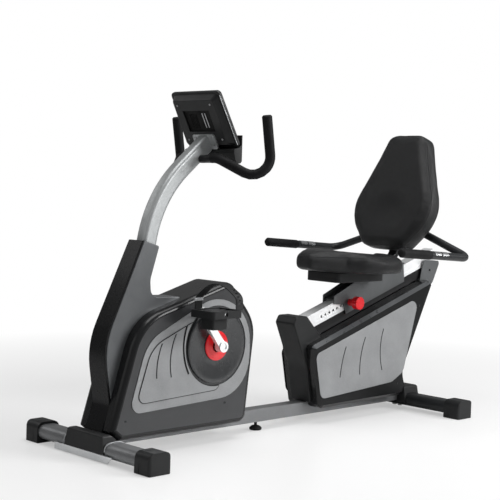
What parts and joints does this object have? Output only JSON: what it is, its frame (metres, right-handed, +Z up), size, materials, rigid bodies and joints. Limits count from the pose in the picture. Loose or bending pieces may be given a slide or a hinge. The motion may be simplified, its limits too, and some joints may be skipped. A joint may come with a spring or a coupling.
{
  "type": "exercise bike",
  "caption": "Recumbent exercise bike with moulded drive and rear housings, curved mast with console, inclined seat rail, padded seat and back, side handles and strapped pedals.",
  "frame": {"origin": "on the floor under the middle of the bike's length and width", "axes": "+X from the front foot to the seat end, +Y to the rider's right, +Z up"},
  "size_m": [1.6448, 0.676, 1.1212],
  "materials": {
    "frame_grey": "satin paint",
    "frame_black": "satin paint",
    "cap_plastic": "fine grain",
    "bright_steel": "brushed",
    "zinc_steel": "zinc plated",
    "rubber_foot": "matte",
    "mast_silver": "satin metallic paint",
    "bar_steel": "satin paint",
    "foam": "soft foam",
    "console_grey": "fine grain",
    "screen": "dark display window",
    "shroud_grey": "satin metallic",
    "shroud_black": "semi-gloss",
    "shell_plastic": "semi-gloss",
    "insert_silver": "satin metallic",
    "disc_plastic": "semi-gloss",
    "red_plastic": "glossy",
    "belt": "ribbed",
    "cast_wheel": "machined",
    "bracket_grey": "satin paint",
    "rail_aluminium": "anodised",
    "rail_black": "satin paint",
    "crank_white": "polished",
    "pedal_plastic": "fine grain",
    "strap_rubber": "soft",
    "nylon": "smooth",
    "vinyl": "grained vinyl",
    "key_plastic": "smooth"
  },
  "bodies": {
    "frame": {"main_beam": "frame_grey", "front_stabilizer": "frame_grey", "rear_stabilizer": "frame_black", "front_caps": "cap_plastic", "rear_caps": "cap_plastic", "foot_plate": "bright_steel", "front_joint_cover": "cap_plastic", "rear_joint_cover": "cap_plastic", "frame_bolts": "zinc_steel", "center_foot": "rubber_foot", "inner_frame": "frame_black", "crank_bearings": "bright_steel", "mast_tube": "mast_silver", "console_bracket": "mast_silver", "handlebar": "bar_steel", "handlebar_grips": "foam", "console_back": "console_grey", "console_front": "cap_plastic", "console_screen": "screen", "tablet_rest": "cap_plastic", "shroud_left": "shroud_grey", "shroud_right": "shroud_grey", "shroud_front": "shroud_black", "shell_left": "shell_plastic", "shell_right": "shell_plastic", "shell_inserts": "insert_silver", "side_discs": "disc_plastic", "hub_rings": "red_plastic", "drive_belt": "belt", "flywheel_axle": "bright_steel", "servo_motor": "cap_plastic", "seat_frame": "bracket_grey", "seat_rail": "rail_aluminium", "rail_base": "rail_black", "rail_front_cover": "cap_plastic", "rear_shell_left": "shell_plastic", "rear_shell_right": "shell_plastic", "rear_inserts": "insert_silver"},
    "crank": {"crank_spindle": "bright_steel", "crank_pulley": "cap_plastic", "crank_arms": "crank_white", "pedal_spindles": "bright_steel"},
    "flywheel": {"flywheel": "cast_wheel"},
    "brake": {"brake_yoke": "zinc_steel"},
    "pedal_left": {"pedal_left": "pedal_plastic", "strap_left": "strap_rubber"},
    "pedal_right": {"pedal_right": "pedal_plastic", "strap_right": "strap_rubber"},
    "carriage": {"seat_carriage": "bracket_grey", "glide_pads": "nylon", "seat_pan": "cap_plastic", "seat_cushion": "vinyl", "backrest_frame": "frame_black", "backrest_cushion": "vinyl", "side_handlebar": "frame_black", "side_grips": "foam"},
    "knob": {"seat_knob": "red_plastic"},
    "key_start": {"key_start": "red_plastic"},
    "key_up": {"key_up": "key_plastic"},
    "key_down": {"key_down": "key_plastic"}
  },
  "joints": [
    {"name": "crank_spin", "type": "hinge", "parent": "frame", "child": "crank", "pos_m": [-0.3735, 0, 0.316], "axis": [0, 1, 0], "continuous": true},
    {"name": "flywheel_spin", "type": "hinge", "parent": "frame", "child": "flywheel", "pos_m": [-0.5295, 0, 0.208], "axis": [0, 1, 0], "continuous": true},
    {"name": "pedal_left_spin", "type": "hinge", "parent": "crank", "child": "pedal_left", "pos_m": [-0.46585, -0.176, 0.4342], "axis": [0, 1, 0], "continuous": true},
    {"name": "pedal_right_spin", "type": "hinge", "parent": "crank", "child": "pedal_right", "pos_m": [-0.28115, 0.176, 0.1978], "axis": [0, 1, 0], "continuous": true},
    {"name": "seat_slide", "type": "slide", "parent": "frame", "child": "carriage", "axis": [0.9511, 0, 0.309], "range_m": [-0.06, 0.147]},
    {"name": "knob_pull", "type": "slide", "parent": "carriage", "child": "knob", "axis": [0, -1, 0], "range_m": [0, 0.008], "stiffness_N_per_m": 700, "springref_m": -0.004},
    {"name": "brake_swing", "type": "hinge", "parent": "frame", "child": "brake", "pos_m": [-0.6275, 0, 0.262], "axis": [0, -1, 0], "range_deg": [0, 7]},
    {"name": "key_start_press", "type": "slide", "parent": "frame", "child": "key_start", "axis": [-0.8829, 0, -0.4695], "range_m": [0, 0.0015], "stiffness_N_per_m": 400, "springref_m": -0.001},
    {"name": "key_up_press", "type": "slide", "parent": "frame", "child": "key_up", "axis": [-0.8829, 0, -0.4695], "range_m": [0, 0.0015], "stiffness_N_per_m": 400, "springref_m": -0.001},
    {"name": "key_down_press", "type": "slide", "parent": "frame", "child": "key_down", "axis": [-0.8829, 0, -0.4695], "range_m": [0, 0.0015], "stiffness_N_per_m": 400, "springref_m": -0.001}
  ],
  "couplings": [
    {"joint": "flywheel_spin", "follows": "crank_spin", "ratio": 6.75}
  ]
}
